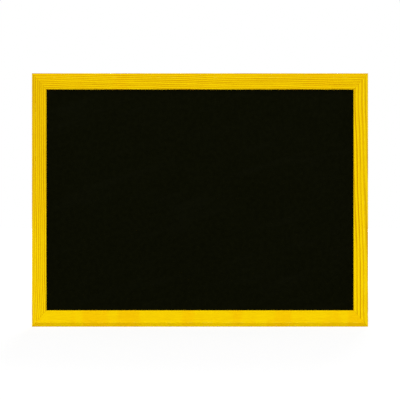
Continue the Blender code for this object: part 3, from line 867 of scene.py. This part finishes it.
def point_outline(node, inward, clearance=0.0):
    """Return a function that draws a panel point in X and Z, its tip towards the frame's edge."""
    low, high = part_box(node)
    middle = middle_of(node)
    size = np.array([high.x - low.x, high.z - low.z]) / 2 + clearance
    inward = np.array(inward)
    aside = np.array([-inward[1], inward[0]])
    half_length = abs(size @ inward)
    half_width = abs(size @ aside)

    def outline_at(inset):
        tip = -half_length + inset
        shoulder = -half_length + POINT_TIP
        tab = half_length - inset
        width = half_width - inset
        drawn = rounded([
            (tip, 0.0, POINT_TIP_ROUND),
            (shoulder, -width, POINT_TIP_ROUND),
            (tab, -width, POINT_ROUND - inset),
            (tab, width, POINT_ROUND - inset),
            (shoulder, width, POINT_TIP_ROUND),
        ])
        return middle + drawn[:, :1] * inward + drawn[:, 1:] * aside

    return outline_at


POINT_STEEL = zinc_steel("panel_points", bloom=0.35, dulling=0.9)
slots = {side: [] for side in sticks}
for node in sorted(frame["nodes"]):
    if not node.startswith("panel_point"):
        continue
    side = node.split("_")[2]
    low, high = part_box(node)
    point = plate(f"{node}_steel", point_outline(node, INWARD[side]), low.y, high.y, POINT_BURR)
    point.data.materials.append(POINT_STEEL)
    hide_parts(node)
    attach(point, "board")
    slot_outline = point_outline(node, INWARD[side], POINT_SLOT_CLEARANCE)
    front, back = low.y - POINT_SLOT_CLEARANCE, high.y + POINT_SLOT_CLEARANCE
    slots[side].append(plate("slot", slot_outline, front, back, POINT_BURR))
for side, cutters in slots.items():
    cut_away(sticks[side], cutters)

# The two straps
# A strip of zinc-plated steel, folded round the ring's bar so that both its layers lie on the
# stile. Its free end is rounded, and one screw goes through both layers.

STRAP_WIDTH = 0.0070
STRAP_GAUGE = 0.0008
STRAP_LIFT = 0.0003
STRAP_LAYER_GAP = 0.0002
RING_WIRE = 0.0015
RING_PLAY = 0.0003
SCREW_DROP = 0.0085
FOLD_RADIUS = RING_WIRE / 2 + RING_PLAY + STRAP_GAUGE / 2
STRAP_BURR = 0.00014
BURR_SHARE_OF_TIP = 0.8
ROUND_END_TURN = math.radians(84)
FOLD_STEPS = 28
BEND_STEPS = 10
ROUND_END_STEPS = 22
STRAIGHT_STEPS = 12
STRIP_SIDES = 24


def strap_line():
    """Return the strap's middle line (out from the wood, up from the bar) and its half width.

    It goes up the wood, round the bar on an arc, back on an arc of the same radius the other
    way and down the first layer. Past the screw the half width follows a circle.
    """
    lower = STRAP_LIFT + STRAP_GAUGE / 2
    upper = lower + STRAP_GAUGE + STRAP_LAYER_GAP
    bar = lower + FOLD_RADIUS
    drop = math.acos((upper - lower) / (2 * FOLD_RADIUS))
    half = STRAP_WIDTH / 2
    end_turn = np.linspace(ROUND_END_TURN, 0, ROUND_END_STEPS)
    end_up = -SCREW_DROP - half * np.sin(end_turn)
    straight_up = np.linspace(-SCREW_DROP, 0, STRAIGHT_STEPS)[1:-1]
    fold = np.linspace(math.pi, -drop, FOLD_STEPS)
    bend = np.linspace(math.pi - drop, math.pi, BEND_STEPS)[1:]
    bend_out = bar + 2 * FOLD_RADIUS * math.cos(drop)
    bend_up = -2 * FOLD_RADIUS * math.sin(drop)
    straight_down = np.linspace(bend_up, -SCREW_DROP, STRAIGHT_STEPS)[1:-1]
    out = np.concatenate([
        np.full(ROUND_END_STEPS + len(straight_up), lower),
        bar + FOLD_RADIUS * np.cos(fold),
        bend_out + FOLD_RADIUS * np.cos(bend),
        np.full(len(straight_down) + ROUND_END_STEPS, upper),
    ])
    up = np.concatenate([
        end_up,
        straight_up,
        FOLD_RADIUS * np.sin(fold),
        bend_up + FOLD_RADIUS * np.sin(bend),
        straight_down,
        end_up[::-1],
    ])
    past_screw = np.clip(-SCREW_DROP - up, 0, half)
    return out, up, np.sqrt(half**2 - past_screw**2)


def full_turn(sides):
    """Return the angles of a circle's points, evenly round from zero."""
    return np.linspace(0, 2 * math.pi, sides, endpoint=False)


def strip_section(half_width, half_gauge):
    """Return a strip's section at each half width: a rectangle with rounded corners.

    It is a circle of the burr's radius whose quarters are moved apart to the four corners.
    """
    burr = np.minimum(STRAP_BURR, half_width * BURR_SHARE_OF_TIP)[:, None]
    turn = full_turn(STRIP_SIDES) + math.pi / STRIP_SIDES
    aside = np.sign(np.cos(turn)) * (half_width[:, None] - burr) + burr * np.cos(turn)
    out = np.sign(np.sin(turn)) * (half_gauge - burr) + burr * np.sin(turn)
    return aside, out


def make_strap(name, bar):
    """Carry the strip's section along its folded line, square to it at every station."""
    out, up, half_width = strap_line()
    slope_out, slope_up = np.gradient(out), np.gradient(up)
    size = np.hypot(slope_out, slope_up)
    aside, thick = strip_section(half_width, STRAP_GAUGE / 2)
    y = BACK_PLANE + out[:, None] - thick * (slope_up / size)[:, None]
    z = bar[2] + up[:, None] + thick * (slope_out / size)[:, None]
    return loft(name, np.stack([bar[0] + aside, y, z], axis=-1))


STRAP_STEEL = zinc_steel("straps", bloom=0.3, turn=(0, math.pi / 2, 0))
bars = {joint["child"]: joint["pos_m"] for joint in frame["joints"]}
straps = {}
for side in ("left", "right"):
    straps[side] = make_strap(f"{side}_strap_folded", bars[f"{side}_ring"])
    straps[side].data.materials.append(STRAP_STEEL)
    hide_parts(f"{side}_strap")
    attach(straps[side], "board")

# The two rings
# D-rings bent from 1.5 mm zinc-plated wire: a straight bar that turns in the strap's fold, two
# tight bends, two legs and a round arch that goes over the hook on the wall.

RING_SIDE_PLAY = 0.0007
RING_BEND = 0.0013
RING_REACH = 0.0090
RING_HALF_WIDTH = STRAP_WIDTH / 2 + RING_SIDE_PLAY + RING_WIRE / 2
WIRE_SIDES = 24
ARCH_STEPS = 49
CORNER_STEPS = 12


def ring_line():
    """Return the D's middle line (aside, up from the bar) and the way out from it.

    Three arcs, joined by the straight lines between them: two of the bend's radius at the
    bar's ends, and a half circle whose top lies at the ring's reach.
    """
    corner = RING_HALF_WIDTH - RING_BEND
    arch_up = RING_REACH - RING_HALF_WIDTH
    right = np.linspace(-math.pi / 2, 0, CORNER_STEPS)
    arch = np.linspace(0, math.pi, ARCH_STEPS)
    left = np.linspace(math.pi, 1.5 * math.pi, CORNER_STEPS)
    lines, ways_out = [], []
    for centre, radius, angle in (
        ((corner, RING_BEND), RING_BEND, right),
        ((0.0, arch_up), RING_HALF_WIDTH, arch),
        ((-corner, RING_BEND), RING_BEND, left),
    ):
        way_out = np.stack([np.cos(angle), np.sin(angle)], axis=-1)
        lines.append(centre + radius * way_out)
        ways_out.append(way_out)
    return np.concatenate(lines), np.concatenate(ways_out)


def make_ring(name, place):
    """Carry the wire's circle round the D, square to it at every station."""
    line, way_out = ring_line()
    turn = full_turn(WIRE_SIDES)
    away = RING_WIRE / 2 * np.cos(turn)
    x = place[0] + line[:, :1] + way_out[:, :1] * away
    z = place[2] + line[:, 1:] + way_out[:, 1:] * away
    y = np.broadcast_to(place[1] + RING_WIRE / 2 * np.sin(turn), x.shape)
    return loft(name, np.stack([x, y, z], axis=-1), looped=True)


RING_STEEL = zinc_steel("rings", bloom=0.15)
for side in ("left", "right"):
    ring = make_ring(f"{side}_ring_wire", bars[f"{side}_ring"])
    ring.data.materials.append(RING_STEEL)
    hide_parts(f"{side}_ring")
    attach(ring, f"{side}_ring")

# The two hanger screws
# Pan-head wood screws of zinc-plated steel with a cross recess. The head holds both layers of
# the strap, and the tapered thread bites into the stile.

HEAD_HEIGHT = 0.0016
HEAD_ROUND = 0.0010
CROWN_HOLE = 0.00005
PLAIN_SHANK = 0.0010
RECESS_ARM = 0.00150
RECESS_HALF_WIDTH = 0.00034
RECESS_DEPTH = 0.00095
RECESS_WALL_SHARE = 0.3
RECESS_HOLLOWING = 0.7
THREAD_PITCH = 0.0011
THREAD_HEIGHT = 0.00042
THREAD_HALF_SHARE = 0.28
SHANK_RADIUS = 0.00125
SCREW_POINT = 0.0030
SCREW_SIDES = 96
HEAD_RINGS = 40
THREAD_RINGS = 110
BORE_CLEARANCE = 0.00015
BORE_SIDES = 40


def recess_depth(x, z):
    """Return the cross recess's depth: arms along both axes, deepest where they meet.

    It is the product of a wall, which rises over a share of the arm's half width, and a floor,
    a power of the distance to the arm's end.
    """
    across = np.minimum(np.abs(x), np.abs(z))
    along = np.maximum(np.abs(x), np.abs(z))
    wall = np.clip((RECESS_HALF_WIDTH - across) / (RECESS_WALL_SHARE * RECESS_HALF_WIDTH), 0, 1)
    floor = np.clip(1 - along / RECESS_ARM, 0, 1) ** RECESS_HOLLOWING
    return RECESS_DEPTH * wall * floor


def turned(name, node, turn, radius, level):
    """Return a piece turned round its node's middle, each point with a radius and a level."""
    middle = middle_of(node)
    x = middle[0] + radius * np.cos(turn)
    z = middle[1] + radius * np.sin(turn)
    return loft(name, np.stack([x, np.broadcast_to(level, x.shape), z], axis=-1))


def make_screw(node, name):
    """Turn the screw from its crown to its point: each ring of points has a radius and a level.

    The thread adds a ridge to the core: a sharp triangle of the phase, which is the depth over
    the pitch less the turn round the axis, shrinking to nothing at the point.
    """
    low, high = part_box(node)
    head_radius = (high.x - low.x) / 2
    length = high.y - low.y
    turn = full_turn(SCREW_SIDES)
    flat = np.linspace(CROWN_HOLE, head_radius - HEAD_ROUND, HEAD_RINGS)
    crown = np.linspace(0, math.pi / 2, ARC_STEPS + 1)[1:]
    head_rings = np.concatenate([flat, flat[-1] + HEAD_ROUND * np.sin(crown), [head_radius]])
    head_levels = np.concatenate([0 * flat, HEAD_ROUND * (1 - np.cos(crown)), [HEAD_HEIGHT]])
    radius = np.broadcast_to(head_rings[:, None], (len(head_rings), SCREW_SIDES))
    level = head_levels[:, None] + recess_depth(radius * np.cos(turn), radius * np.sin(turn))

    depth = np.linspace(HEAD_HEIGHT, length - CROWN_HOLE, THREAD_RINGS)
    to_point = np.clip((length - depth) / SCREW_POINT, 0, 1)[:, None]
    phase = (depth[:, None] / THREAD_PITCH - turn / (2 * math.pi)) % 1
    ridge = np.clip(1 - np.abs(phase - 0.5) / THREAD_HALF_SHARE, 0, 1)
    begun = np.clip((depth - HEAD_HEIGHT) / PLAIN_SHANK - 1, 0, 1)[:, None]
    core = SHANK_RADIUS - THREAD_HEIGHT
    shank = (core + (THREAD_HEIGHT * ridge * begun + THREAD_HEIGHT * (1 - begun))) * to_point
    all_radii = np.concatenate([radius, shank])
    all_depths = np.concatenate([level, np.broadcast_to(depth[:, None], shank.shape)])
    return turned(name, node, turn, all_radii, high.y - all_depths)


def bore(node):
    """Return the cutter for a screw's hole: a round plate as deep as the screw is long."""
    low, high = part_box(node)
    turn = full_turn(BORE_SIDES)
    circle = np.stack([np.cos(turn), np.sin(turn)], axis=-1)
    middle = middle_of(node)
    radius = SHANK_RADIUS + BORE_CLEARANCE

    def outline_at(inset):
        return middle + (radius - inset) * circle

    return plate("bore", outline_at, low.y - BORE_CLEARANCE, high.y, BORE_CLEARANCE)


SCREW_STEEL = zinc_steel("screws", bloom=0.1)
for side in ("left", "right"):
    node = f"{side}_hanger_screw"
    screw = make_screw(node, f"{node}_turned")
    screw.data.materials.append(SCREW_STEEL)
    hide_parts(node)
    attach(screw, "board")
    cut_away(straps[side], [bore(node)])
    cut_away(sticks[side], [bore(node)])

# The two bumpers
# Small moulded buttons of dark grey rubber, stuck on the bottom rail's back near its ends. They
# keep the board parallel to the wall and stop it from sliding.

BUMPER_ROUND = 0.0006
BUMPER_SIDES = 72
BUMPER_DISH = 0.00012
BUMPER_HOLE = 0.00005
BUMPER_RINGS = 16
RUBBER_GREY = (0.022, 0.022, 0.024, 1.0)
RUBBER_PALE = (0.045, 0.044, 0.043, 1.0)
RUBBER_GLOSS = 0.35
RUBBER_ROUGHNESS = (0.62, 0.8)
RUBBER_TEXTURE = 0.00003
TEXTURE_BLOT = (0.12, 0.12, 0.12)
WORN_BLOT = (0.8, 0.8, 0.8)
PALE_BLOT = (2.2, 2.2, 2.2)


def rubber():
    """Return moulded rubber: dark grey, bloomed paler in patches, with a fine spark texture."""
    material, tree, shader = start_material("rubber", Specular_IOR_Level=RUBBER_GLOSS)
    place = laid_out(tree)
    pale = spread(tree, noise(tree, place, PALE_BLOT, detail=3.0), 0.4, 0.7)
    tree.links.new(blend(tree, pale, RUBBER_GREY, RUBBER_PALE), shader.inputs["Base Color"])
    roughness = spread(tree, noise(tree, place, WORN_BLOT), 0.3, 0.7, *RUBBER_ROUGHNESS)
    tree.links.new(roughness, shader.inputs["Roughness"])
    bumped(tree, shader, noise(tree, place, TEXTURE_BLOT), RUBBER_TEXTURE, strength=0.6)
    return material


def make_bumper(node, name):
    """Turn the button from its dished face, over a rounded edge, down a slant to its base.

    The dish is deepest in the middle and falls off with the square of the radius.
    """
    low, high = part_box(node)
    base_radius = (high.x - low.x) / 2
    face_radius = base_radius - BUMPER_ROUND
    flat = np.linspace(BUMPER_HOLE, face_radius - BUMPER_ROUND, BUMPER_RINGS)
    dish = BUMPER_DISH * (1 - (flat / flat[-1]) ** 2)
    crown = np.linspace(0, math.pi / 2, ARC_STEPS + 1)[1:]
    edge_radius = face_radius - BUMPER_ROUND * (1 - np.sin(crown))
    edge_level = high.y - BUMPER_ROUND * (1 - np.cos(crown))
    radius = np.concatenate([flat, edge_radius, [base_radius]])
    level = np.concatenate([high.y - dish, edge_level, [BACK_PLANE]])
    turn = full_turn(BUMPER_SIDES)
    return turned(name, node, turn, radius[:, None], level[:, None])


RUBBER = rubber()
for side in ("left", "right"):
    bumper = make_bumper(f"{side}_bumper", f"{side}_bumper_moulded")
    bumper.data.materials.append(RUBBER)
    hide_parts(f"{side}_bumper")
    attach(bumper, "board")

# The studio
# A pale floor under the board, soft square lamps in front, above, at both sides and behind, a
# white surround, and a camera square-on to the board, where the photograph was taken from.

FLOOR_SIZE = 12.0
FLOOR_PALE = (0.36, 0.36, 0.36, 1.0)
FLOOR_GLOW_NEAR = 0.80
FLOOR_GLOW_FAR = 1.0
GLOW_STARTS = 0.35
GLOW_IS_FULL = 1.3
WHITE = (1.0, 1.0, 1.0, 1.0)
SURROUND_LIGHT = 0.15
LAMP_DISTANCE = 9.0
LAMP_SIZE = 2.8
LENS = 135.0
SENSOR = 36.0
PHOTO_SIDE = 400
FRAME_WIDTH_PIXELS = 336.24


def seen_directly(tree):
    """Return 1 for camera, glossy and transmission rays, and 0 for the rays that light things."""
    path = tree.nodes.new("ShaderNodeLightPath").outputs
    mirrored = calc(tree, "MAXIMUM", path["Is Glossy Ray"], path["Is Transmission Ray"])
    return calc(tree, "MAXIMUM", path["Is Camera Ray"], mirrored)


def floor_material():
    """Return a pale floor that glows to white for the camera, less so close to the board."""
    material = bpy.data.materials.new("studio_floor")
    material.use_nodes = True
    tree = material.node_tree
    tree.nodes.remove(tree.nodes["Principled BSDF"])
    place = tree.nodes.new("ShaderNodeTexCoord").outputs["Object"]
    away = put(tree, "ShaderNodeVectorMath", {0: place}, operation="LENGTH").outputs["Value"]
    glow = spread(tree, away, GLOW_STARTS, GLOW_IS_FULL, FLOOR_GLOW_NEAR, FLOOR_GLOW_FAR)
    strength = calc(tree, "MULTIPLY", glow, seen_directly(tree))
    emission = put(tree, "ShaderNodeEmission", {"Color": WHITE, "Strength": strength})
    diffuse = put(tree, "ShaderNodeBsdfDiffuse", {"Color": FLOOR_PALE})
    both = put(tree, "ShaderNodeAddShader", {0: emission.outputs[0], 1: diffuse.outputs[0]})
    tree.links.new(both.outputs[0], tree.nodes["Material Output"].inputs["Surface"])
    return material


def make_lamp(name, azimuth, elevation, share):
    """Hang a square soft lamp round the board, at angles in degrees: azimuth 0 is in front.

    A lamp of power P at a distance d lights a white surface that faces it to P / (pi d)^2, so
    the power for a share of full white is the share times (pi d)^2.
    """
    azimuth, elevation = math.radians(azimuth), math.radians(elevation)
    target = np.array([0.0, BACK_PLANE, FRAME_MIDDLE])
    way = np.array([
        math.sin(azimuth) * math.cos(elevation),
        -math.cos(azimuth) * math.cos(elevation),
        math.sin(elevation),
    ])
    data = bpy.data.lights.new(name, "AREA")
    data.size = LAMP_SIZE
    data.energy = share * (math.pi * LAMP_DISTANCE) ** 2
    lamp = bpy.data.objects.new(name, data)
    lamp.location = target + way * LAMP_DISTANCE
    lamp.rotation_euler = (math.pi / 2 - elevation, 0.0, azimuth)
    bpy.context.scene.collection.objects.link(lamp)


make_lamp("front_lamp", azimuth=-3, elevation=12, share=0.70)
make_lamp("top_lamp", azimuth=0, elevation=50, share=0.16)
make_lamp("left_lamp", azimuth=-78, elevation=10, share=0.22)
make_lamp("right_lamp", azimuth=78, elevation=10, share=0.18)
make_lamp("back_lamp", azimuth=175, elevation=15, share=0.70)

floor_mesh = bpy.data.meshes.new("studio_floor")
floor_signs = ((-1, -1), (1, -1), (1, 1), (-1, 1))
floor_corners = [(x * FLOOR_SIZE / 2, y * FLOOR_SIZE / 2, 0) for x, y in floor_signs]
floor_mesh.from_pydata(floor_corners, [], [(0, 1, 2, 3)])
floor_mesh.materials.append(floor_material())
floor = bpy.data.objects.new("studio_floor", floor_mesh)
floor.location = (0.0, 0.0, FRAME_BOTTOM)
bpy.context.scene.collection.objects.link(floor)
floor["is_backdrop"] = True

world = bpy.data.worlds.new("studio_surround")
world.use_nodes = True
world_tree = world.node_tree
surround = world_tree.nodes["Background"]
surround.inputs["Color"].default_value = WHITE
strengths = {"Value": seen_directly(world_tree), 3: SURROUND_LIGHT, 4: 1.0}
glow = put(world_tree, "ShaderNodeMapRange", strengths)
world_tree.links.new(glow.outputs["Result"], surround.inputs["Strength"])
bpy.context.scene.world = world

# Measured in linear light, the frame's silhouette is 336.24 of the photograph's 400 pixels wide:
# the lens angle then gives the distance from the widest part of the frame, behind its bevel
silhouette_level = BACK_PLANE - (FRAME_DEPTH - BEVEL_DROP)
view_width = (FRAME_RIGHT - FRAME_LEFT) * PHOTO_SIDE / FRAME_WIDTH_PIXELS
camera_data = bpy.data.cameras.new("camera")
camera_data.lens = LENS
camera_data.sensor_width = SENSOR
camera = bpy.data.objects.new("camera", camera_data)
camera.location = (0.0, silhouette_level - view_width * LENS / SENSOR, FRAME_MIDDLE)
camera.rotation_euler = (math.pi / 2, 0.0, 0.0)
bpy.context.scene.collection.objects.link(camera)
bpy.context.scene.camera = camera
bpy.context.scene.view_settings.view_transform = "Standard"

# The box round the dressed board
low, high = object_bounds()
